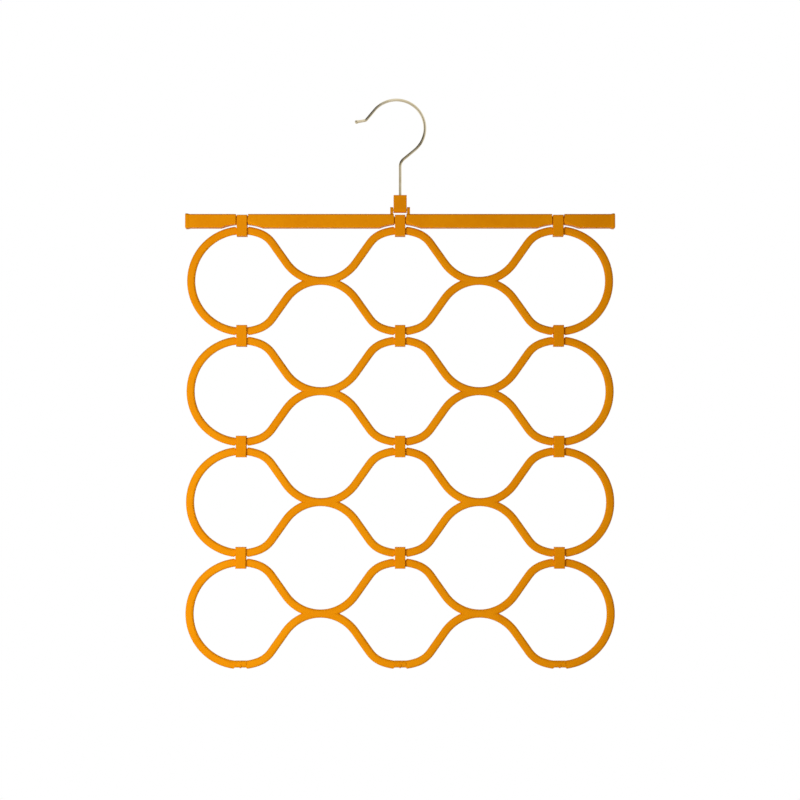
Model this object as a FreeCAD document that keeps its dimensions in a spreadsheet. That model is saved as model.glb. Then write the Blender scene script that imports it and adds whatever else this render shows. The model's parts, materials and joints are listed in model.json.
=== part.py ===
"""Scarf hanger: a wire hook, a bar and four rows of three rings that hinge on snap clips.

Millimetres. X runs along the bar, Z is up and the front is -Y. The origin is the rail seat,
the inside top of the hook, on the axis that the hook turns about.
"""
import FreeCAD
import Part
import Sketcher
import math
import os
import re

ROWS = 4
COLUMNS = {"left": -1, "middle": 0, "right": 1}
CORE_COUNT = 4
HALF_TURN = 180
# Two places closer than this are one place
TOUCH = 1e-4

# Driving dimensions: millimetres, and degrees where the name says angle
SIZES = {
    # Hook wire
    "wire_diameter": 2.3,
    "hook_radius": 23.0,
    "hook_offset": 3.0,
    "hook_slant_angle": 39.5,
    "hook_mouth_angle": 140.0,
    "hook_lead": 11.0,
    "tip_length": 7.4,
    "tip_drop_angle": 9.5,
    "tip_ball_diameter": 3.1,
    "shank_bend_radius": 8.0,
    "knee_bend_radius": 2.5,
    "head_diameter": 3.5,
    "head_height": 2.0,
    # Hook block and its cross pin
    "block_width": 10.6,
    "block_depth": 5.2,
    "block_rise": 11.6,
    "block_edge": 0.5,
    "head_floor": 1.2,
    "pin_diameter": 2.0,
    "pin_rise": 3.9,
    "pin_edge": 0.2,
    # Bar
    "rail_to_bar": 91.8,
    "bar_length": 345.0,
    "bar_height": 11.0,
    "bar_depth": 9.0,
    "bar_edge": 1.2,
    "lip_width": 1.8,
    "lip_proud": 0.5,
    "lip_edge": 0.7,
    "flare_length": 1.8,
    "ear_thickness": 2.4,
    "ear_radius": 2.1,
    "ear_base": 6.8,
    "notch_width": 10.0,
    "relief_radius": 49.0,
    "relief_gap": 1.5,
    "swing_gap": 0.45,
    "core_wall": 1.8,
    "core_depth": 6.8,
    "core_edge": 1.0,
    # Ring frames
    "column_pitch": 127.0,
    "ring_radius": 40.8,
    "shoulder_radius": 22.0,
    "shoulder_angle": 20.0,
    "slope_angle": 54.7,
    "rod_width": 6.5,
    "rod_depth": 4.5,
    "rod_edge": 2.0,
    # Journals and the seats that they span
    "seat_inset": 0.825,
    "journal_diameter": 5.6,
    "journal_root": 1.0,
    "collar_diameter": 7.2,
    "seat_width": 9.2,
    "seat_slope": 1.4,
    "rib_diameter": 6.6,
    "rib_width": 1.2,
    # Clips
    "clip_width": 8.4,
    "clip_pitch": 8.75,
    "clip_overhang": 4.225,
    "clip_front": 4.2,
    "clip_back": 3.2,
    "clip_recess": 0.6,
    "mouth_width": 4.8,
    "clip_edge": 0.6,
    "mouth_edge": 0.4,
    # Clearances
    "running_clearance": 0.05,
    "head_clearance": 0.1,
    "rib_clearance": 0.15,
    "side_clearance": 0.3,
    "ear_clearance": 0.25,
}

# Dimensions that follow from the driving ones, by name
DERIVED = {
    "wire_radius": "wire_diameter / 2",
    "hook_centre_z": "wire_radius - hook_radius",
    "slant_joint_x": "hook_radius * sin(hook_slant_angle * 1deg) - hook_offset",
    "slant_joint_z": "hook_centre_z - hook_radius * cos(hook_slant_angle * 1deg)",
    "shank_corner_z": "slant_joint_z - slant_joint_x * tan(hook_slant_angle * 1deg)",
    "mouth_joint_x": "hook_radius * cos(hook_mouth_angle * 1deg) - hook_offset",
    "mouth_joint_z": "hook_centre_z + hook_radius * sin(hook_mouth_angle * 1deg)",
    "knee_x": "mouth_joint_x - hook_lead * sin(hook_mouth_angle * 1deg)",
    "knee_z": "mouth_joint_z + hook_lead * cos(hook_mouth_angle * 1deg)",
    "tip_x": "knee_x - tip_length * cos(tip_drop_angle * 1deg)",
    "tip_z": "knee_z - tip_length * sin(tip_drop_angle * 1deg)",
    "bar_top": "0 - rail_to_bar",
    "bar_middle": "bar_top - bar_height / 2",
    "pin_z": "bar_top + pin_rise",
    "head_pocket_bottom": "pin_z + pin_diameter / 2 + running_clearance + head_floor",
    "head_pocket_height": "head_height + 2 * head_clearance",
    "wire_bottom": "head_pocket_bottom + head_clearance",
    "block_top": "pin_z + block_rise",
    "ear_inner": "block_width / 2 + ear_clearance",
    "ear_outer": "ear_inner + ear_thickness",
    "bar_journal_z": "bar_top - clip_recess - clip_overhang",
    "pin_span": "2 * (ring_radius - seat_inset)",
    "row_pitch": "pin_span + clip_pitch",
    "first_seat_z": "bar_journal_z - clip_pitch",
    "ring_outer": "ring_radius + rod_width / 2",
    "relief_centre_z": "first_seat_z - pin_span / 2 + ring_outer + relief_gap - relief_radius",
    "relief_half": "sqrt(relief_radius^2 - (bar_top - bar_height - relief_centre_z)^2)",
    "core_run": "column_pitch - 2 * relief_half - 2 * core_wall",
    "core_length": f"(core_run - {CORE_COUNT - 1} * core_wall) / {CORE_COUNT}",
    "end_core_start": "column_pitch + relief_half + core_wall",
    "end_core_length": "bar_length / 2 - lip_width - flare_length - end_core_start",
    "neck_turn": "slope_angle - shoulder_angle",
    "shoulder_reach": "ring_radius - shoulder_radius",
    "neck_drop": "shoulder_reach * cos(neck_turn * 1deg) + shoulder_radius",
    "neck_radius": "(column_pitch / 2 * sin(slope_angle * 1deg) - neck_drop) / (1 - cos(slope_angle * 1deg))",
    "shoulder_x": "shoulder_reach * sin(shoulder_angle * 1deg)",
    "shoulder_z": "shoulder_reach * cos(shoulder_angle * 1deg)",
    "clip_half_height": "clip_pitch / 2 + clip_overhang",
    "bore_radius": "journal_diameter / 2 + running_clearance",
    "groove_radius": "rib_diameter / 2 + rib_clearance",
    "groove_width": "rib_width + 2 * rib_clearance",
    "collar_start": "clip_width / 2 + side_clearance",
    "collar_width": "notch_width / 2 - collar_start",
}

doc = FreeCAD.newDocument("scarf_hanger")
sheet = doc.addObject("Spreadsheet::Sheet", "Sizes")
for row, (alias, amount) in enumerate(SIZES.items(), start=1):
    sheet.set(f"A{row}", str(amount))
    sheet.setAlias(f"A{row}", alias)
doc.recompute()


def expand(formula):
    """A formula in plain size names, as an expression on the sheet's cells."""
    def swap(match):
        name = match.group(0)
        if name in SIZES:
            return f"Sizes.{name}"
        if name in DERIVED:
            return f"({expand(DERIVED[name])})"
        return name

    return re.sub(r"[a-z][a-z_]*", swap, formula)


def number(formula):
    """The present value of a formula."""
    return float(sheet.evalExpression(expand(formula)))


def bind(thing, **formulas):
    """Bind properties of a document object to formulas; a double underscore stands for a dot."""
    for name, formula in formulas.items():
        thing.setExpression(name.replace("__", "."), expand(formula))


def point(across, up):
    return FreeCAD.Vector(number(across), number(up), 0)


class Drawing:
    """A sketch on an origin plane of a body, with its sizes bound to the sheet."""

    def __init__(self, body, plane, name, offset=None):
        self.sketch = body.newObject("Sketcher::SketchObject", name)
        self.sketch.AttachmentSupport = (origin_feature(body, plane), "")
        self.sketch.MapMode = "FlatFace"
        if offset:
            bind(self.sketch, AttachmentOffset__Base__z=offset)

    def line(self, start, end):
        return self.sketch.addGeometry(Part.LineSegment(start, end))

    def arc(self, centre, radius, first, last):
        """An arc drawn anticlockwise between two angles in degrees."""
        circle = Part.Circle(centre, FreeCAD.Vector(0, 0, 1), radius)
        turn = Part.ArcOfCircle(circle, math.radians(first), math.radians(last))
        return self.sketch.addGeometry(turn)

    def join(self, kind, first, second):
        """Join two edges where their ends meet: Coincident or Tangent."""
        gap = {
            (a, b): self.sketch.getPoint(first, a).distanceToPoint(self.sketch.getPoint(second, b))
            for a in (1, 2)
            for b in (1, 2)
        }
        near = min(gap, key=gap.get)
        self.sketch.addConstraint(Sketcher.Constraint(kind, first, near[0], second, near[1]))

    def rule(self, kind, *where):
        self.sketch.addConstraint(Sketcher.Constraint(kind, *where))

    def size(self, formula, kind, *where):
        """A dimension bound to a formula, given as its size: the geometry keeps its side."""
        index = self.sketch.addConstraint(Sketcher.Constraint(kind, *where, number(formula)))
        self.sketch.setExpression(f"Constraints[{index}]", expand(formula))

    def place(self, edge, end, across, up):
        """Fix an end (1, 2) or centre (3) of an edge by its distances from the sketch origin."""
        for kind, formula in (("DistanceX", across), ("DistanceY", up)):
            self.size(formula, kind, -1, 1, edge, end)

    def circle(self, across, up, radius):
        edge = self.sketch.addGeometry(
            Part.Circle(point(across, up), FreeCAD.Vector(0, 0, 1), number(radius))
        )
        self.size(radius, "Radius", edge)
        self.place(edge, 3, across, up)

    def polygon(self, corners):
        """A closed outline of straight edges, each corner fixed by its own two formulas."""
        places = [point(*corner) for corner in corners]
        edges = [self.line(a, b) for a, b in zip(places, places[1:] + places[:1])]
        for edge, following in zip(edges, edges[1:] + edges[:1]):
            self.rule("Coincident", edge, 2, following, 1)
        for edge, corner in zip(edges, corners):
            self.place(edge, 1, *corner)

    def box(self, left, bottom, width, height):
        """A rectangle from its lower left corner."""
        right = f"{left} + {width}"
        top = f"{bottom} + {height}"
        self.polygon([(left, bottom), (right, bottom), (right, top), (left, top)])

    def rounded_box(self, across, up, width, height, radius):
        """A rectangle about a centre, with round corners."""
        edges = []
        corner = number(radius)
        for turn, (sx, sy) in enumerate(((1, 1), (-1, 1), (-1, -1), (1, -1))):
            middle = point(
                f"{across} + {sx} * ({width} / 2 - {radius})",
                f"{up} + {sy} * ({height} / 2 - {radius})",
            )
            edges.append(self.arc(middle, corner, 90 * turn, 90 * turn + 90))
        sides = []
        for arc, following in zip(edges, edges[1:] + edges[:1]):
            side = self.line(self.sketch.getPoint(arc, 2), self.sketch.getPoint(following, 1))
            self.rule("Tangent", arc, 2, side, 1)
            self.rule("Tangent", side, 2, following, 1)
            sides.append(side)
        for side, way in zip(sides, ("Horizontal", "Vertical") * 2):
            self.rule(way, side)
        for arc in edges[1:]:
            self.rule("Equal", edges[0], arc)
        self.size(radius, "Radius", edges[0])
        self.place(edges[0], 3, f"{across} + {width} / 2 - {radius}", f"{up} + {height} / 2 - {radius}")
        self.place(edges[2], 3, f"{across} - {width} / 2 + {radius}", f"{up} - {height} / 2 + {radius}")


def new_body(label):
    body = doc.addObject("PartDesign::Body", label)
    body.Label = label
    return body


def extrude(body, kind, drawing, name, length, midplane=True, reverse=False):
    """A Pad or Pocket of a drawing, about its plane or to one side."""
    feature = body.newObject(f"PartDesign::{kind}", name)
    feature.Profile = drawing.sketch
    feature.SideType = "Symmetric" if midplane else "One side"
    feature.Reversed = reverse
    bind(feature, Length=length)
    return feature


def sweep(body, profile, spine, name):
    feature = body.newObject("PartDesign::AdditivePipe", name)
    feature.Profile = profile.sketch
    feature.Spine = spine.sketch
    return feature


def cross_cylinder(body, name, left, up, radius, length, angle=None):
    """A round along X, or the part of one through an angle that starts at +Y and rises."""
    feature = body.newObject("PartDesign::AdditiveCylinder", name)
    feature.Placement.Rotation = FreeCAD.Rotation(
        FreeCAD.Vector(0, 1, 0), FreeCAD.Vector(0, 0, 1), FreeCAD.Vector(1, 0, 0), "ZXY"
    )
    bind(feature, Radius=radius, Height=length, Placement__Base__x=left, Placement__Base__z=up)
    if angle:
        bind(feature, Angle=angle)
    return feature


def cut_box(body, name, corner, size):
    """Cut a box from its lowest corner; corner and size are formulas for X, Y and Z."""
    feature = body.newObject("PartDesign::SubtractiveBox", name)
    bind(feature, Length=size[0], Width=size[1], Height=size[2])
    for axis, formula in zip("xyz", corner):
        bind(feature, **{f"Placement__Base__{axis}": formula})
    return feature


def origin_feature(body, role):
    return next(feature for feature in body.Origin.OriginFeatures if feature.Role == role)


def mirror(body, name, plane):
    """Mirror the whole shape in an origin plane."""
    base = body.Tip
    feature = body.newObject("PartDesign::Mirrored", name)
    feature.BaseFeature = base
    feature.TransformMode = "Whole shape"
    feature.MirrorPlane = (origin_feature(body, plane), [""])
    body.Tip = feature
    return feature


def dress(body, kind, name, edges, size):
    """A Fillet or Chamfer on the edges of the present shape that a test picks out."""
    doc.recompute()
    base = body.Tip
    picked = [f"Edge{i}" for i, edge in enumerate(base.Shape.Edges, start=1) if edges(edge.BoundBox)]
    feature = body.newObject(f"PartDesign::{kind}", name)
    feature.Base = (base, picked)
    bind(feature, **{"Radius" if kind == "Fillet" else "Size": size})
    return feature


def at(low, high, formula):
    """True where an edge lies wholly at one coordinate."""
    here = number(formula)
    return abs(low - here) < TOUCH and abs(high - here) < TOUCH


def make_hook():
    """Round wire: headed shank, slanted neck, round hook, lead to the mouth, tip with a ball."""
    body = new_body("hook")
    slant = number("hook_slant_angle")
    mouth = number("hook_mouth_angle")
    drop = number("tip_drop_angle")
    bend = number("shank_bend_radius")
    knee = number("knee_bend_radius")
    spine = Drawing(body, "XZ_Plane", "hook_path")

    corner = point("0", "shank_corner_z")
    slant_way = FreeCAD.Vector(math.cos(math.radians(slant)), math.sin(math.radians(slant)), 0)
    setback = bend * math.tan(math.radians(90 - slant) / 2)
    shank_end = corner - FreeCAD.Vector(0, setback, 0)
    slant_start = corner + slant_way * setback
    slant_end = point("slant_joint_x", "slant_joint_z")
    shank = spine.line(point("0", "wire_bottom"), shank_end)
    lower_bend = spine.arc(shank_end + FreeCAD.Vector(bend, 0, 0), bend, 90 + slant, 180)
    neck = spine.line(slant_start, slant_end)
    round_part = spine.arc(
        point("0 - hook_offset", "hook_centre_z"), number("hook_radius"), slant - 90, mouth
    )
    knee_corner = point("knee_x", "knee_z")
    lead_way = FreeCAD.Vector(math.cos(math.radians(mouth + 90)), math.sin(math.radians(mouth + 90)), 0)
    tip_way = FreeCAD.Vector(-math.cos(math.radians(drop)), -math.sin(math.radians(drop)), 0)
    turn = mouth + 90 - (180 + drop)
    knee_setback = knee * math.tan(math.radians(turn) / 2)
    lead_end = knee_corner - lead_way * knee_setback
    tip_start = knee_corner + tip_way * knee_setback
    knee_centre = tip_start + FreeCAD.Vector(tip_way.y, -tip_way.x, 0) * knee
    lead = spine.line(spine.sketch.getPoint(round_part, 2), lead_end)
    knee_bend = spine.arc(knee_centre, knee, 270 + drop, 270 + drop + turn)
    tip = spine.line(tip_start, point("tip_x", "tip_z"))
    chain = [shank, lower_bend, neck, round_part, lead, knee_bend, tip]
    for edge, following in zip(chain, chain[1:]):
        spine.join("Tangent", edge, following)
    spine.place(shank, 1, "0", "wire_bottom")
    spine.rule("Vertical", shank)
    spine.size("shank_bend_radius", "Radius", lower_bend)
    spine.place(round_part, 3, "0 - hook_offset", "hook_centre_z")
    spine.size("hook_radius", "Radius", round_part)
    spine.size("hook_slant_angle", "Angle", neck)
    spine.size("mouth_joint_z", "DistanceY", -1, 1, round_part, 2)
    spine.size("knee_bend_radius", "Radius", knee_bend)
    spine.place(tip, 2, "tip_x", "tip_z")
    spine.size("180 + tip_drop_angle", "Angle", tip)

    wire = Drawing(body, "XY_Plane", "wire_section", offset="wire_bottom")
    wire.circle("0", "0", "wire_radius")
    sweep(body, wire, spine, "wire")

    head = Drawing(body, "XY_Plane", "head_section", offset="wire_bottom")
    head.circle("0", "0", "head_diameter / 2")
    extrude(body, "Pad", head, "head", "head_height", midplane=False)

    ball = body.newObject("PartDesign::AdditiveSphere", "tip_ball")
    bind(ball, Radius="tip_ball_diameter / 2", Placement__Base__x="tip_x", Placement__Base__z="tip_z")
    return body


def make_hook_block():
    """Block with a round foot about its cross pin and a T slot behind for the headed wire."""
    body = new_body("hook_block")
    half = "block_depth / 2"
    side = Drawing(body, "YZ_Plane", "side")
    foot = side.arc(point("0", "pin_z"), number(half), 180, 360)
    back = side.line(point(half, "pin_z"), point(half, "block_top"))
    top = side.line(point(half, "block_top"), point(f"0 - {half}", "block_top"))
    front = side.line(point(f"0 - {half}", "block_top"), point(f"0 - {half}", "pin_z"))
    side.join("Tangent", foot, back)
    side.join("Coincident", back, top)
    side.join("Coincident", top, front)
    side.join("Tangent", front, foot)
    side.rule("Horizontal", top)
    side.rule("Vertical", back)
    side.place(foot, 3, "0", "pin_z")
    side.size(half, "Radius", foot)
    side.size("block_top", "DistanceY", -1, 1, top, 1)
    extrude(body, "Pad", side, "block", "block_width")

    reach = "block_depth / 2 + wire_diameter"
    channels = (
        ("wire", "wire_radius + running_clearance", "block_top - head_pocket_bottom"),
        ("head", "head_diameter / 2 + head_clearance", "head_pocket_height"),
    )
    for name, radius, height in channels:
        slot = Drawing(body, "XY_Plane", f"{name}_slot", offset="head_pocket_bottom")
        round_end = slot.arc(point("0", "0"), number(radius), 180, 360)
        right = slot.line(point(radius, "0"), point(radius, reach))
        across = slot.line(point(radius, reach), point(f"0 - ({radius})", reach))
        left = slot.line(point(f"0 - ({radius})", reach), point(f"0 - ({radius})", "0"))
        slot.join("Tangent", round_end, right)
        slot.join("Coincident", right, across)
        slot.join("Coincident", across, left)
        slot.join("Tangent", left, round_end)
        slot.rule("Horizontal", across)
        slot.rule("Vertical", right)
        slot.place(round_end, 3, "0", "0")
        slot.size(radius, "Radius", round_end)
        slot.size(reach, "DistanceY", -1, 1, across, 1)
        extrude(body, "Pocket", slot, f"{name}_channel", height, midplane=False, reverse=True)

    bore = Drawing(body, "YZ_Plane", "pin_bore_section")
    bore.circle("0", "pin_z", "pin_diameter / 2 + running_clearance")
    extrude(body, "Pocket", bore, "pin_bore", "block_width")

    def on_outline(box):
        end_face = box.XLength < TOUCH and at(abs(box.XMin), abs(box.XMax), "block_width / 2")
        reaches_face = max(abs(box.YMin), abs(box.YMax)) > number(half) - TOUCH
        front_top = at(box.YMin, box.YMax, f"0 - {half}") and at(box.ZMin, box.ZMax, "block_top")
        return end_face and reaches_face or front_top

    dress(body, "Fillet", "soft_edges", on_outline, "block_edge")
    return body


def make_block_pin():
    """Plain pin, flush with the outer faces of the two ears."""
    body = new_body("block_pin")
    section = Drawing(body, "YZ_Plane", "pin_section")
    section.circle("0", "pin_z", "pin_diameter / 2")
    extrude(body, "Pad", section, "pin", "2 * ear_outer")

    def at_ends(box):
        return box.XLength < TOUCH

    dress(body, "Chamfer", "pin_ends", at_ends, "pin_edge")
    return body


def make_bar():
    """Moulded bar: flared ends, two ears, three notches with journals, ring reliefs, cored back.

    The right half is built and mirrored.
    """
    body = new_body("bar")
    section = Drawing(body, "YZ_Plane", "bar_section")
    section.rounded_box("0", "bar_middle", "bar_depth", "bar_height", "bar_edge")
    extrude(body, "Pad", section, "beam", "bar_length / 2 - lip_width", midplane=False)

    # Flared end
    lip = "bar_length / 2 - lip_width"
    wide = "(bar_depth + 2 * lip_proud)"
    tall = "(bar_height + 2 * lip_proud)"
    throat = Drawing(body, "YZ_Plane", "throat_section", offset=f"{lip} - flare_length")
    throat.rounded_box("0", "bar_middle", "bar_depth", "bar_height", "bar_edge")
    rim = Drawing(body, "YZ_Plane", "rim_section", offset=lip)
    rim.rounded_box("0", "bar_middle", wide, tall, "(bar_edge + lip_proud)")
    flare = body.newObject("PartDesign::AdditiveLoft", "flare")
    flare.Profile = throat.sketch
    flare.Sections = [rim.sketch]
    flare.Ruled = True
    cap = Drawing(body, "YZ_Plane", "cap_section", offset=lip)
    cap.rounded_box("0", "bar_middle", wide, tall, "(bar_edge + lip_proud)")
    extrude(body, "Pad", cap, "end_cap", "lip_width", midplane=False)

    def at_tip(box):
        return at(box.XMin, box.XMax, "bar_length / 2")

    dress(body, "Fillet", "round_end", at_tip, "lip_edge")

    # Ear that carries the cross pin: a round crown with straight flanks down into the bar
    ear = Drawing(body, "YZ_Plane", "ear_side", offset="ear_inner")
    base = number("ear_base / 2")
    rise = number("pin_rise + bar_edge")
    radius = number("ear_radius")
    lean = math.acos(radius / math.hypot(base, rise)) - math.atan2(rise, base)
    crown = ear.arc(point("0", "pin_z"), radius, math.degrees(lean), 180 - math.degrees(lean))
    foot_right = point("ear_base / 2", "bar_top - bar_edge")
    foot_left = point("0 - ear_base / 2", "bar_top - bar_edge")
    left = ear.line(ear.sketch.getPoint(crown, 2), foot_left)
    foot = ear.line(foot_left, foot_right)
    right = ear.line(foot_right, ear.sketch.getPoint(crown, 1))
    ear.join("Tangent", crown, left)
    ear.join("Coincident", left, foot)
    ear.join("Coincident", foot, right)
    ear.join("Tangent", right, crown)
    ear.place(crown, 3, "0", "pin_z")
    ear.size("ear_radius", "Radius", crown)
    ear.place(foot, 1, "0 - ear_base / 2", "bar_top - bar_edge")
    ear.place(foot, 2, "ear_base / 2", "bar_top - bar_edge")
    extrude(body, "Pad", ear, "ear", "ear_thickness", midplane=False)
    eye = Drawing(body, "YZ_Plane", "ear_eye_section")
    eye.circle("0", "pin_z", "pin_diameter / 2")
    extrude(body, "Pocket", eye, "ear_eye", "2 * ear_outer + bar_edge")

    # Reliefs over the rings, also where these swing about the journals, then notches and journals
    reliefs = Drawing(body, "XZ_Plane", "relief_arches")
    swings = Drawing(body, "XZ_Plane", "swing_sections")
    bind(swings.sketch, AttachmentOffset__Base__y="bar_journal_z")
    notches = Drawing(body, "XZ_Plane", "notch_sections")
    for column in ("0", "column_pitch"):
        reliefs.circle(column, "relief_centre_z", "relief_radius")
        swings.circle(column, "0 - clip_pitch - pin_span / 2", "(ring_outer + swing_gap)")
        notches.box(
            f"{column} - notch_width / 2",
            "bar_top - bar_height - bar_edge",
            "notch_width",
            "(bar_height + 2 * bar_edge)",
        )
    extrude(body, "Pocket", reliefs, "reliefs", wide)
    swing = body.newObject("PartDesign::Groove", "swing_reliefs")
    swing.Profile = swings.sketch
    swing.ReferenceAxis = (swings.sketch, ["H_Axis"])
    swing.Angle = HALF_TURN
    swing.Midplane = True
    extrude(body, "Pocket", notches, "notches", wide)
    journal = "journal_diameter / 2"
    root = "(notch_width / 2 + journal_root)"
    cross_cylinder(body, "middle_journal", "0", "bar_journal_z", journal, root)
    cross_cylinder(body, "end_journal", f"column_pitch - {root}", "bar_journal_z", journal, f"2 * {root}")
    collars = ("collar_start", "column_pitch - notch_width / 2", "column_pitch + collar_start")
    for count, left in enumerate(collars, start=1):
        cross_cylinder(body, f"collar_{count}", left, "bar_journal_z", "collar_diameter / 2", "collar_width")

    # Cored back, with ribs between the cores
    back = "0 - bar_depth / 2"
    tall_core = "(bar_height - 2 * core_wall)"
    core = Drawing(body, "XZ_Plane", "core_section", offset=back)
    first_core = "relief_half + core_wall + core_length / 2"
    core.rounded_box(first_core, "bar_middle", "core_length", tall_core, "core_edge")
    pocket = extrude(body, "Pocket", core, "core", "core_depth", midplane=False, reverse=True)
    ribs = body.newObject("PartDesign::LinearPattern", "core_row")
    ribs.Originals = [pocket]
    ribs.Direction = (origin_feature(body, "X_Axis"), [""])
    ribs.Occurrences = CORE_COUNT
    bind(ribs, Length=f"{CORE_COUNT - 1} * (core_length + core_wall)")
    body.Tip = ribs
    end_core = Drawing(body, "XZ_Plane", "end_core_section", offset=back)
    end_middle = "end_core_start + end_core_length / 2"
    end_core.rounded_box(end_middle, "bar_middle", "end_core_length", tall_core, "core_edge")
    extrude(body, "Pocket", end_core, "end_core", "core_depth", midplane=False, reverse=True)
    mirror(body, "whole_bar", "YZ_Plane")
    return body


def make_clip(label, column, row):
    """Two-bore snap clip: plain front, two mouths behind, a groove in each bore for the rib."""
    body = new_body(label)
    side = Drawing(body, "YZ_Plane", "clip_side")
    front = "0 - clip_front"
    top = "clip_half_height"
    lip = "sqrt(bore_radius^2 - mouth_width^2 / 4)"
    mouth = math.degrees(math.asin(number("mouth_width / 2 / bore_radius")))
    outline = [(front, f"0 - {top}"), (front, top), ("clip_back", top)]
    edges = [side.line(point(*a), point(*b)) for a, b in zip(outline, outline[1:])]
    bores = []
    last = outline[-1]
    for pin in ("clip_pitch / 2", "0 - clip_pitch / 2"):
        above = f"{pin} + mouth_width / 2"
        below = f"{pin} - mouth_width / 2"
        edges.append(side.line(point(*last), point("clip_back", above)))
        edges.append(side.line(point("clip_back", above), point(lip, above)))
        bores.append(side.arc(point("0", pin), number("bore_radius"), mouth, 360 - mouth))
        edges.append(bores[-1])
        edges.append(side.line(point(lip, below), point("clip_back", below)))
        last = ("clip_back", below)
    foot = ("clip_back", f"0 - {top}")
    edges.append(side.line(point(*last), point(*foot)))
    edges.append(side.line(point(*foot), point(*outline[0])))
    for edge, following in zip(edges, edges[1:] + edges[:1]):
        side.join("Coincident", edge, following)
    for edge in (edges[0], edges[2], edges[6], edges[10]):
        side.rule("Vertical", edge)
    for edge in (edges[1], edges[3], edges[5], edges[7], edges[9], edges[11]):
        side.rule("Horizontal", edge)
    side.place(edges[0], 1, front, f"0 - {top}")
    side.place(edges[1], 2, "clip_back", top)
    side.rule("Vertical", edges[2], 1, edges[6], 1)
    side.rule("Vertical", edges[2], 1, edges[10], 1)
    for bore, edge, pin in zip(bores, (edges[3], edges[7]), ("clip_pitch / 2", "0 - clip_pitch / 2")):
        side.place(bore, 3, "0", pin)
        side.size("bore_radius", "Radius", bore)
        side.size(f"{pin} + mouth_width / 2", "DistanceY", -1, 1, edge, 1)
        side.rule("Vertical", bore, 1, bore, 2)
    extrude(body, "Pad", side, "clip", "clip_width")

    def on_front(box):
        return at(box.YMin, box.YMax, front)

    def on_mouths(box):
        behind = at(box.YMin, box.YMax, "clip_back") and box.ZLength < TOUCH
        return behind and abs(box.ZMin) < number(top) - TOUCH

    dress(body, "Fillet", "front_edges", on_front, "clip_edge")
    dress(body, "Fillet", "mouth_edges", on_mouths, "mouth_edge")
    grooves = Drawing(body, "YZ_Plane", "groove_section")
    for pin in ("clip_pitch / 2", "0 - clip_pitch / 2"):
        grooves.circle("0", pin, "groove_radius")
    extrude(body, "Pocket", grooves, "grooves", "groove_width")
    middle = f"bar_journal_z - clip_pitch / 2 - {row} * row_pitch"
    bind(body, Placement__Base__x=f"{column} * column_pitch", Placement__Base__z=middle)
    return body


def seat_outline(column):
    """The cut for one seat: upright below the journal's crown, then sloping out to the rod's rim."""
    levels = (
        ("ring_radius - rod_width", "seat_width / 2"),
        ("pin_span / 2 + journal_diameter / 2", "seat_width / 2"),
        ("ring_outer", "seat_width / 2 + seat_slope"),
        ("ring_outer + rod_width", "seat_width / 2 + seat_slope"),
    )
    right = [(f"{column} + {half}", level) for level, half in levels]
    left = [(f"{column} - ({half})", level) for level, half in reversed(levels)]
    return right + left


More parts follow.
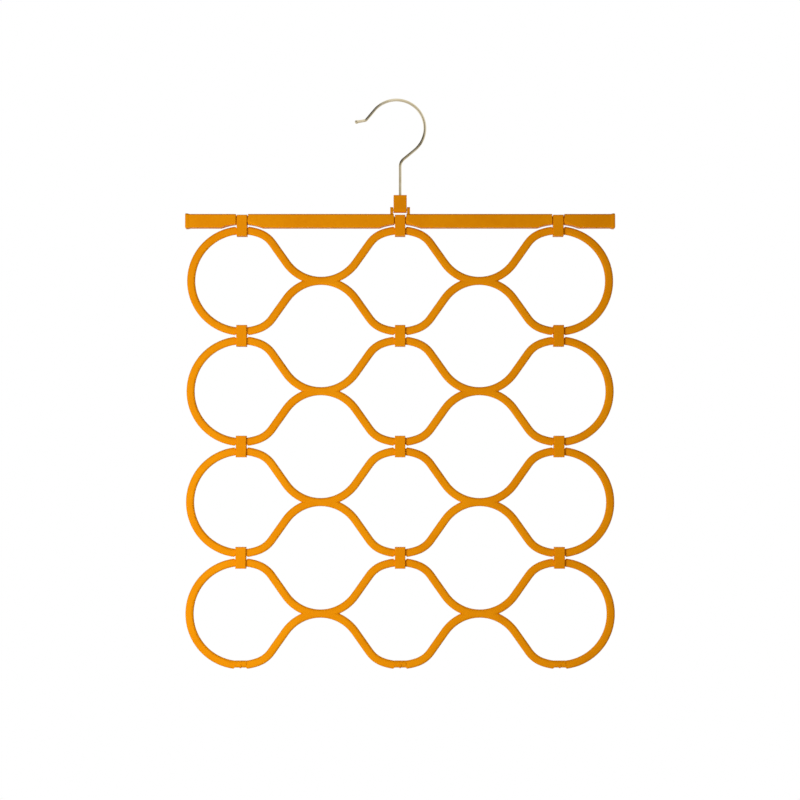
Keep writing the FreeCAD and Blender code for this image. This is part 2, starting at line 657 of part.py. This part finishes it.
def make_ring_frame(label, row):
    """Three lobed rings in a row, a rod swept along tangent arcs, with journal seats.

    The upper right quarter is built and mirrored twice.
    """
    body = new_body(label)
    path = Drawing(body, "XZ_Plane", "rod_path")
    ring = number("ring_radius")
    shoulder = number("shoulder_radius")
    neck = number("neck_radius")
    start = number("shoulder_angle")
    slope = number("slope_angle")
    end_lobe = path.arc(point("column_pitch", "0"), ring, 0, 90 + start)
    end_shoulder = path.arc(
        point("column_pitch - shoulder_x", "shoulder_z"), shoulder, 90 + start, 90 + slope
    )
    neck_middle = point("column_pitch / 2", "neck_radius")
    neck_right = path.arc(neck_middle, neck, 270, 270 + slope)
    neck_left = path.arc(neck_middle, neck, 270 - slope, 270)
    middle_shoulder = path.arc(point("shoulder_x", "shoulder_z"), shoulder, 90 - slope, 90 - start)
    middle_lobe = path.arc(point("0", "0"), ring, 90 - start, 90)
    corner = path.sketch.getPoint
    end_slope = path.line(corner(neck_right, 2), corner(end_shoulder, 2))
    middle_slope = path.line(corner(neck_left, 1), corner(middle_shoulder, 1))
    chain = [end_lobe, end_shoulder, end_slope, neck_right]
    chain += [neck_left, middle_slope, middle_shoulder, middle_lobe]
    for edge, following in zip(chain, chain[1:]):
        path.join("Tangent", edge, following)
    path.place(end_lobe, 3, "column_pitch", "0")
    path.size("ring_radius", "Radius", end_lobe)
    path.rule("PointOnObject", end_lobe, 1, -1)
    path.rule("Coincident", middle_lobe, 3, -1, 1)
    path.rule("Equal", end_lobe, middle_lobe)
    path.rule("PointOnObject", middle_lobe, 2, -2)
    path.size("shoulder_radius", "Radius", end_shoulder)
    path.rule("Equal", end_shoulder, middle_shoulder)
    path.place(neck_right, 1, "column_pitch / 2", "0")
    path.rule("Vertical", neck_right, 1, neck_right, 3)
    path.rule("Equal", neck_right, neck_left)
    turn = "ring_radius * sin(shoulder_angle * 1deg)"
    path.size(f"column_pitch - {turn}", "DistanceX", -1, 1, end_lobe, 2)
    path.size(turn, "DistanceX", -1, 1, middle_lobe, 1)
    path.size("slope_angle", "Angle", end_slope)

    rod = Drawing(body, "XY_Plane", "rod_section")
    rod.rounded_box("column_pitch + ring_radius", "0", "rod_width", "rod_depth", "rod_edge")
    sweep(body, rod, path, "rod")
    below = ("0", "0 - rod_depth", "0 - rod_width")
    cut_box(body, "mid_line", below, ("column_pitch + 2 * ring_radius", "2 * rod_depth", "rod_width"))

    # Seats: the rod is cut away between sloping shoulders, and a journal with a half rib takes its place
    journal = "journal_diameter / 2"
    height = "pin_span / 2"
    cuts = Drawing(body, "XZ_Plane", "seat_sections")
    seats = {"middle": ("0", 1, "0"), "end": ("column_pitch", 2, "1")}
    for column, *_ in seats.values():
        cuts.polygon(seat_outline(column))
    extrude(body, "Pocket", cuts, "seats", "2 * rod_depth")
    half_seat = "seat_width / 2"
    half_rib = "rib_width / 2"
    for name, (column, halves, left) in seats.items():
        cross_cylinder(
            body,
            f"{name}_journal",
            f"{column} - {left} * {half_seat}",
            height,
            journal,
            f"{halves} * {half_seat}",
        )
        cross_cylinder(
            body,
            f"{name}_rib",
            f"{column} - {left} * {half_rib}",
            height,
            "rib_diameter / 2",
            f"{halves} * {half_rib}",
            angle="180",
        )
    mirror(body, "both_levels", "XY_Plane")
    mirror(body, "both_sides", "YZ_Plane")
    bind(body, Placement__Base__z=f"first_seat_z - pin_span / 2 - {row} * row_pitch")
    return body


def main():
    bodies = [make_hook(), make_hook_block(), make_block_pin(), make_bar()]
    for row in range(ROWS):
        bodies.append(make_ring_frame(f"ring_frame_{row + 1}", row))
        for side, column in COLUMNS.items():
            bodies.append(make_clip(f"clip_{row + 1}_{side}", column, row))
    doc.recompute()
    for thing in doc.Objects:
        if "Invalid" in thing.State or "Error" in thing.State:
            raise RuntimeError(f"{thing.Name} failed: {thing.State}")
    for body in bodies:
        if body.Shape.isNull() or not body.Shape.isValid() or len(body.Shape.Solids) != 1:
            raise RuntimeError(f"{body.Label} is not one valid solid")
    os.makedirs("parts", exist_ok=True)
    for body in bodies:
        body.Shape.exportStep(os.path.join("parts", f"{body.Label}.step"))


main()
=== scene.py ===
"""Scarf hanger of saffron mouldings on a brass-plated hook: finishes, light and camera.

Metres. X runs along the bar, Z is up and the front is -Y. The origin is the rail seat, the
inside top of the hook.
"""
import json
import math

import bpy
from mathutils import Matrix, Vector

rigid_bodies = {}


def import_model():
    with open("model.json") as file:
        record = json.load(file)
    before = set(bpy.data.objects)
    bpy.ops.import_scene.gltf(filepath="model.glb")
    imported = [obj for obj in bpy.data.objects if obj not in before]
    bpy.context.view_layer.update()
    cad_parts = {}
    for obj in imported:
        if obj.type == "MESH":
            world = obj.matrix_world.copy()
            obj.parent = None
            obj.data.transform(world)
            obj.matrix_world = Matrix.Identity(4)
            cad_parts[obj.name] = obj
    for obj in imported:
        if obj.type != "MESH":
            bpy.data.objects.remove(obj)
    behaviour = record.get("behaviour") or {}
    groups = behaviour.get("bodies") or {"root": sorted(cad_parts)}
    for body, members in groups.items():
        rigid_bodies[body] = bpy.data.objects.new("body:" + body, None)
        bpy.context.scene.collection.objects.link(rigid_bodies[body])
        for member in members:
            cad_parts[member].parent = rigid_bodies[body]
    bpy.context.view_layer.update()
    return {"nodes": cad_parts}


MM = 0.001
WHITE = "#FFFFFF"

# Viewpoint of the photograph: level with the third row, pitched up a little
CAMERA_PLACE = (-0.0001, -1.5, -0.3087)
CAMERA_PITCH_DEGREES = 2.58
FOCAL_PIXELS = 1875
IMAGE_PIXELS = 800
SENSOR_MM = 36.0

# Floor: it whitens between these distances from its middle, from this share of plain white to all
FLOOR_HEIGHT = -1.45
FLOOR_RADIUS = 3.0
FLOOR_SIDES = 96
FLOOR_COLOUR = "#E9E8E5"
FLOOR_FADE = (0.9, 2.85)
FLOOR_WHITE = 0.6

# Even light from all round
AMBIENT_STRENGTH = 0.15

# Dim room that mirrors see in front of the hanger: a slanting oval, on a sphere of radius 1
DIM_ROOM_BRIGHTNESS = 0.025
DIM_ROOM_HALF_SIZES = (1.8, 0.5)
DIM_ROOM_SLANT_DEGREES = 42
# Shares of its half sizes between which its edge fades
DIM_ROOM_EDGE = (0.55, 1.1)
# It wraps round to the sides and ends this far behind the hanger, on the same sphere
DIM_ROOM_END = 0.5
# Bright doorway up its middle, which fades between these half widths
DOORWAY_EDGE = (0.05, 0.22)
# A pattern stretched this far no longer changes along that axis
FLAT = 1000.0

# Soft lamps: place, point aimed at, side length and power in watts
LAMPS = {
    "window_left": ((-0.44, -0.7, -0.42), (-0.05, 0.0, -0.3), 0.5, 6.2),
    "fill_front": ((-0.4, -1.2, -0.15), (0.0, 0.0, -0.3), 0.8, 2.2),
    "side_right": ((1.0, 0.0, -0.25), (0.0, 0.0, -0.3), 0.8, 2.0),
    "fill_behind": ((0.6, 1.3, 0.55), (0.0, 0.0, -0.25), 1.0, 18.0),
}

# Saffron plastic: bright and deep pigment of each kind of moulding
SAFFRON_MOULDINGS = {
    "ring_frame": ("#E99106", "#E18703"),
    "bar": ("#E69004", "#DE8602"),
    "clip": ("#E88F05", "#E08503"),
    "hook_block": ("#E58E06", "#DC8403"),
}
PIGMENT_CLOUDS_MM = 35
PIGMENT_MOTTLE_MM = 4
MOTTLE_SHARE = 0.35
# Noise values at which the pigment is all deep and all bright
PIGMENT_SPAN = (0.35, 0.65)
OCCLUSION_SAMPLES = 8
# Painted shade: the colour darkens in corners where other surfaces lie within this reach, by up to this
# share, towards this dark colour
CORNER_REACH_MM = 2.5
PAINTED_CORNER_SHADE = 0.15
PAINTED_CORNER_SHADE_COLOUR = "#7A3D02"
EDGE_REACH_MM = 0.5
EDGE_RUB = 0.2
# Openness of the solid behind an edge, from all rubbed to not rubbed
EDGE_SPAN = (0.0, 0.7)
EDGE_COLOUR = "#F0A016"
# Spark-eroded grain is 0.1 mm across; it is drawn larger, so that it shows
GRAIN_MM = 0.5
GRAIN_DEPTH_MM = 0.02
GRAIN_STRENGTH = 0.06
SATIN_ROUGHNESS = (0.36, 0.5)
SEAM_HALF_WIDTH_MM = 0.3
SEAM_HEIGHT_MM = 0.03
SEAM_STRENGTH = 0.3
PLASTIC_IOR = 1.49
PLASTIC_SHEEN = 0.05

# Brass plate, clean and tarnished
BRASS_COLOURS = ("#DCD0B4", "#CBBC97")
TARNISH_CLOUDS_MM = 9
TARNISH_SPAN = (0.4, 0.7)
# Drawing marks are a few hundredths of a millimetre apart; they are drawn larger, so that they show
DRAWING_MARKS_MM = 0.4
DRAWING_DEPTH_MM = 0.02
DRAWING_STRENGTH = 0.08
BRASS_ROUGHNESS = (0.05, 0.14)

# Drawn steel: places count for little along X, so that grains become lines along the pin
STEEL_COLOURS = ("#A9A9A6", "#C9C9C6")
STEEL_LINES_MM = 0.2
STEEL_PLACE_SCALE = (0.03, 1.0, 1.0)
STEEL_ROUGHNESS = (0.22, 0.4)


def linear(colour):
    """An sRGB hex colour as linear red, green, blue and alpha."""
    parts = [int(colour[i:i + 2], 16) / 255 for i in (1, 3, 5)]
    return [c / 12.92 if c <= 0.04045 else ((c + 0.055) / 1.055) ** 2.4 for c in parts] + [1.0]


def add_node(tree, kind, inputs=None, **settings):
    """Add a node with its settings; an input is a value or the socket it is linked from."""
    node = tree.nodes.new(f"ShaderNode{kind}")
    for name, value in settings.items():
        setattr(node, name, value)
    for socket, value in (inputs or {}).items():
        if isinstance(value, bpy.types.NodeSocket):
            tree.links.new(value, node.inputs[socket])
        else:
            node.inputs[socket].default_value = value
    return node


def calculate(tree, operation, *values):
    """Result of an operation on sockets or numbers."""
    return add_node(tree, "Math", dict(enumerate(values)), operation=operation).outputs[0]


def length_of(tree, vector):
    """Length of a vector socket."""
    return add_node(tree, "VectorMath", {0: vector}, operation="LENGTH").outputs["Value"]


def stretch(tree, value, given=(0.0, 1.0), wanted=(0.0, 1.0), soft=False):
    """Carry a value from one range to another, in a straight line or with soft ends."""
    ranges = {"From Min": given[0], "From Max": given[1], "To Min": wanted[0], "To Max": wanted[1]}
    way = "SMOOTHSTEP" if soft else "LINEAR"
    mapped = add_node(tree, "MapRange", {"Value": value, **ranges}, interpolation_type=way)
    return mapped.outputs["Result"]


def noise(tree, place, size_mm, detail):
    """Random pattern with grains of about this size."""
    inputs = {"Vector": place, "Scale": 1 / (size_mm * MM), "Detail": detail}
    return add_node(tree, "TexNoise", inputs).outputs["Fac"]


def mix_colours(tree, share, first, second):
    """Blend of two colours, with this share of the second."""
    return add_node(tree, "Mix", {0: share, 6: first, 7: second}, data_type="RGBA").outputs[2]


def bump(tree, height, strength, depth_mm, under=None):
    """Normals of a relief, laid over another relief where one is given."""
    inputs = {"Height": height, "Strength": strength, "Distance": depth_mm * MM}
    if under is not None:
        inputs["Normal"] = under
    return add_node(tree, "Bump", inputs).outputs["Normal"]


def ray_kinds(tree):
    """Two sockets, which are 1 for rays straight from the eye and for rays off a mirror."""
    rays = add_node(tree, "LightPath").outputs
    eye = calculate(tree, "MAXIMUM", rays["Is Camera Ray"], rays["Is Transmission Ray"])
    return eye, rays["Is Glossy Ray"]


def new_finish(name):
    """An empty material, with its tree and the object's own coordinates for patterns."""
    finish = bpy.data.materials.new(name)
    finish.use_nodes = True
    finish.node_tree.nodes.clear()
    place = add_node(finish.node_tree, "TexCoord").outputs["Object"]
    return finish, finish.node_tree, place


def add_surface(tree, looks):
    """Close a material with a Principled shader of these looks."""
    shader = add_node(tree, "BsdfPrincipled", looks)
    add_node(tree, "OutputMaterial", {"Surface": shader.outputs["BSDF"]})


def moulded_polypropylene(name, bright, deep, parting_line):
    """Polypropylene from a finely spark-eroded mould: an even satin with no mirror image.

    The eye sees a soft sheen that breaks up in a fine grain, faint clouds in the pigment,
    rubbed paler edges and painted shade in the corners where pieces meet.
    """
    finish, tree, place = new_finish(name)

    # Pigment: large clouds and small mottling
    clouds = noise(tree, place, PIGMENT_CLOUDS_MM, detail=3.0)
    mottle = noise(tree, place, PIGMENT_MOTTLE_MM, detail=4.0)
    pigment = add_node(tree, "Mix", {0: MOTTLE_SHARE, 2: clouds, 3: mottle}, data_type="FLOAT").outputs[0]
    body = mix_colours(tree, stretch(tree, pigment, PIGMENT_SPAN), linear(deep), linear(bright))

    # Painted shade darkens the colour in corners where pieces meet; outer edges are rubbed paler
    corner = add_node(
        tree, "AmbientOcclusion", {"Distance": CORNER_REACH_MM * MM}, samples=OCCLUSION_SAMPLES
    )
    painted_shade_share = stretch(tree, corner.outputs["AO"], wanted=(PAINTED_CORNER_SHADE, 0.0))
    with_painted_shade = mix_colours(tree, painted_shade_share, body, linear(PAINTED_CORNER_SHADE_COLOUR))
    edge = add_node(
        tree,
        "AmbientOcclusion",
        {"Distance": EDGE_REACH_MM * MM},
        samples=OCCLUSION_SAMPLES,
        inside=True,
    )
    rub = stretch(tree, edge.outputs["AO"], EDGE_SPAN, (EDGE_RUB, 0.0))
    rubbed = mix_colours(tree, rub, with_painted_shade, linear(EDGE_COLOUR))

    grain = noise(tree, place, GRAIN_MM, detail=2.0)
    relief = bump(tree, grain, GRAIN_STRENGTH, GRAIN_DEPTH_MM)
    if parting_line:
        # Soft ridge where the two mould halves meet, along the middle of the rod
        depth = add_node(tree, "SeparateXYZ", {"Vector": place}).outputs["Y"]
        off_seam = calculate(tree, "ABSOLUTE", depth)
        seam = stretch(tree, off_seam, (0.0, SEAM_HALF_WIDTH_MM * MM), (1.0, 0.0), soft=True)
        relief = bump(tree, seam, SEAM_STRENGTH, SEAM_HEIGHT_MM, under=relief)

    looks = {
        "Base Color": rubbed,
        "Roughness": stretch(tree, grain, wanted=SATIN_ROUGHNESS),
        "IOR": PLASTIC_IOR,
        "Specular IOR Level": PLASTIC_SHEEN,
        "Normal": relief,
    }
    add_surface(tree, looks)
    return finish


def brass_plated_wire():
    """Steel wire, drawn, bent, polished and plated with pale brass: a mirror with a warm cast.

    The eye sees a dim room in its slanting stretches, the white surroundings along its edges and
    on its level top, faint drawing marks and a slight tarnish in clouds.
    """
    finish, tree, place = new_finish("polished_brass_plated_steel")
    clean, tarnished = BRASS_COLOURS
    tarnish = stretch(tree, noise(tree, place, TARNISH_CLOUDS_MM, detail=4.0), TARNISH_SPAN)
    marks = noise(tree, place, DRAWING_MARKS_MM, detail=3.0)
    looks = {
        "Base Color": mix_colours(tree, tarnish, linear(clean), linear(tarnished)),
        "Metallic": 1.0,
        "Roughness": stretch(tree, marks, wanted=BRASS_ROUGHNESS),
        "Normal": bump(tree, marks, DRAWING_STRENGTH, DRAWING_DEPTH_MM),
    }
    add_surface(tree, looks)
    return finish


def drawn_steel():
    """Plain drawn steel pin: grey, half bright, with fine lines along its length."""
    finish, tree, place = new_finish("drawn_steel")
    dark, bright = STEEL_COLOURS
    along = add_node(tree, "Mapping", {"Vector": place, "Scale": STEEL_PLACE_SCALE}).outputs["Vector"]
    lines = noise(tree, along, STEEL_LINES_MM, detail=3.0)
    looks = {
        "Base Color": mix_colours(tree, lines, linear(dark), linear(bright)),
        "Metallic": 1.0,
        "Roughness": stretch(tree, lines, wanted=STEEL_ROUGHNESS),
    }
    add_surface(tree, looks)
    return finish


def paint(piece, finish):
    """Give a piece its finish."""
    piece.data.materials.clear()
    piece.data.materials.append(finish)


def dress_nodes(nodes):
    """Give each CAD node the finish of its kind."""
    mouldings = {
        kind: moulded_polypropylene(
            f"satin_moulded_polypropylene_{kind}", bright, deep, kind == "ring_frame"
        )
        for kind, (bright, deep) in SAFFRON_MOULDINGS.items()
    }
    finishes = {**mouldings, "hook": brass_plated_wire(), "block_pin": drawn_steel()}
    for name, node in nodes.items():
        if name in finishes:
            paint(node, finishes[name])
        else:
            kind = next(start for start in mouldings if name.startswith(start))
            paint(node, finishes[kind])


def lay_floor():
    """Pale matt floor, well below the hanger, that fades into the white surroundings."""
    bpy.ops.mesh.primitive_circle_add(
        vertices=FLOOR_SIDES, radius=FLOOR_RADIUS, fill_type="NGON", location=(0, 0, FLOOR_HEIGHT)
    )
    floor = bpy.context.object
    floor.name = "floor"
    finish, tree, place = new_finish("matt_pale_floor")
    # The white is no lamp: it only shows, to the eye and in mirrors
    finish.cycles.emission_sampling = "NONE"
    whiteness = stretch(tree, length_of(tree, place), FLOOR_FADE, (FLOOR_WHITE, 1.0), soft=True)
    looked_at = calculate(tree, "MAXIMUM", *ray_kinds(tree))
    share = calculate(tree, "MULTIPLY", whiteness, looked_at)
    matt = add_node(tree, "BsdfDiffuse", {"Color": linear(FLOOR_COLOUR)}).outputs["BSDF"]
    white = add_node(tree, "Emission", {"Color": linear(WHITE), "Strength": 1.0}).outputs["Emission"]
    mixed = add_node(tree, "MixShader", {0: share, 1: matt, 2: white})
    add_node(tree, "OutputMaterial", {"Surface": mixed.outputs["Shader"]})
    paint(floor, finish)


def mirrored_brightness(tree):
    """What mirrors see: white all round, apart from a dim room in front with a bright doorway."""
    way = add_node(tree, "TexCoord").outputs["Generated"]
    wide, tall = DIM_ROOM_HALF_SIZES
    slant = math.radians(DIM_ROOM_SLANT_DEGREES)
    oval = add_node(
        tree,
        "Mapping",
        {"Vector": way, "Rotation": (0.0, slant, 0.0), "Scale": (wide, FLAT, tall)},
        vector_type="TEXTURE",
    )
    in_oval = stretch(
        tree, length_of(tree, oval.outputs["Vector"]), DIM_ROOM_EDGE, (1.0, 0.0), soft=True
    )
    parts = add_node(tree, "SeparateXYZ", {"Vector": way}).outputs
    in_front = calculate(tree, "LESS_THAN", parts["Y"], DIM_ROOM_END)
    off_doorway = stretch(tree, calculate(tree, "ABSOLUTE", parts["X"]), DOORWAY_EDGE, soft=True)
    beside = calculate(tree, "MULTIPLY", in_front, off_doorway)
    dim = calculate(tree, "MULTIPLY", in_oval, beside)
    return stretch(tree, dim, wanted=(1.0, DIM_ROOM_BRIGHTNESS))


def surround():
    """White surroundings to the eye, even soft light on the hanger, and a dim room in mirrors."""
    world = bpy.data.worlds.new("studio")
    world.use_nodes = True
    tree = world.node_tree
    tree.nodes.clear()
    bpy.context.scene.world = world
    strengths = {"even": AMBIENT_STRENGTH, "seen": 1.0, "mirrored": mirrored_brightness(tree)}
    light = {
        name: add_node(tree, "Background", {"Color": linear(WHITE), "Strength": strength}).outputs[0]
        for name, strength in strengths.items()
    }
    eye, mirror = ray_kinds(tree)
    lit = add_node(tree, "MixShader", {0: mirror, 1: light["even"], 2: light["mirrored"]})
    shown = add_node(tree, "MixShader", {0: eye, 1: lit.outputs[0], 2: light["seen"]})
    add_node(tree, "OutputWorld", {"Surface": shown.outputs[0]})


def hang_lamps():
    """Hang the soft lamps, which light the hanger but show neither to the eye nor in mirrors."""
    for name, (place, target, side, watts) in LAMPS.items():
        lamp = bpy.data.lights.new(name, "AREA")
        lamp.size = side
        lamp.energy = watts
        holder = bpy.data.objects.new(name, lamp)
        holder.location = place
        holder.visible_glossy = False
        holder.visible_camera = False
        holder.rotation_euler = (Vector(target) - Vector(place)).to_track_quat("-Z", "Y").to_euler()
        bpy.context.scene.collection.objects.link(holder)


def set_camera():
    """Look from the photograph's viewpoint."""
    lens = bpy.data.cameras.new("camera")
    lens.sensor_width = SENSOR_MM
    lens.lens = SENSOR_MM * FOCAL_PIXELS / IMAGE_PIXELS
    camera = bpy.data.objects.new("camera", lens)
    camera.location = CAMERA_PLACE
    camera.rotation_euler = (math.radians(90 + CAMERA_PITCH_DEGREES), 0, 0)
    bpy.context.scene.collection.objects.link(camera)
    bpy.context.scene.camera = camera


bpy.ops.object.select_all(action="SELECT")
bpy.ops.object.delete()
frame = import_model()
bpy.context.scene.view_settings.view_transform = "Standard"
dress_nodes(frame["nodes"])
lay_floor()
surround()
hang_lamps()
set_camera()
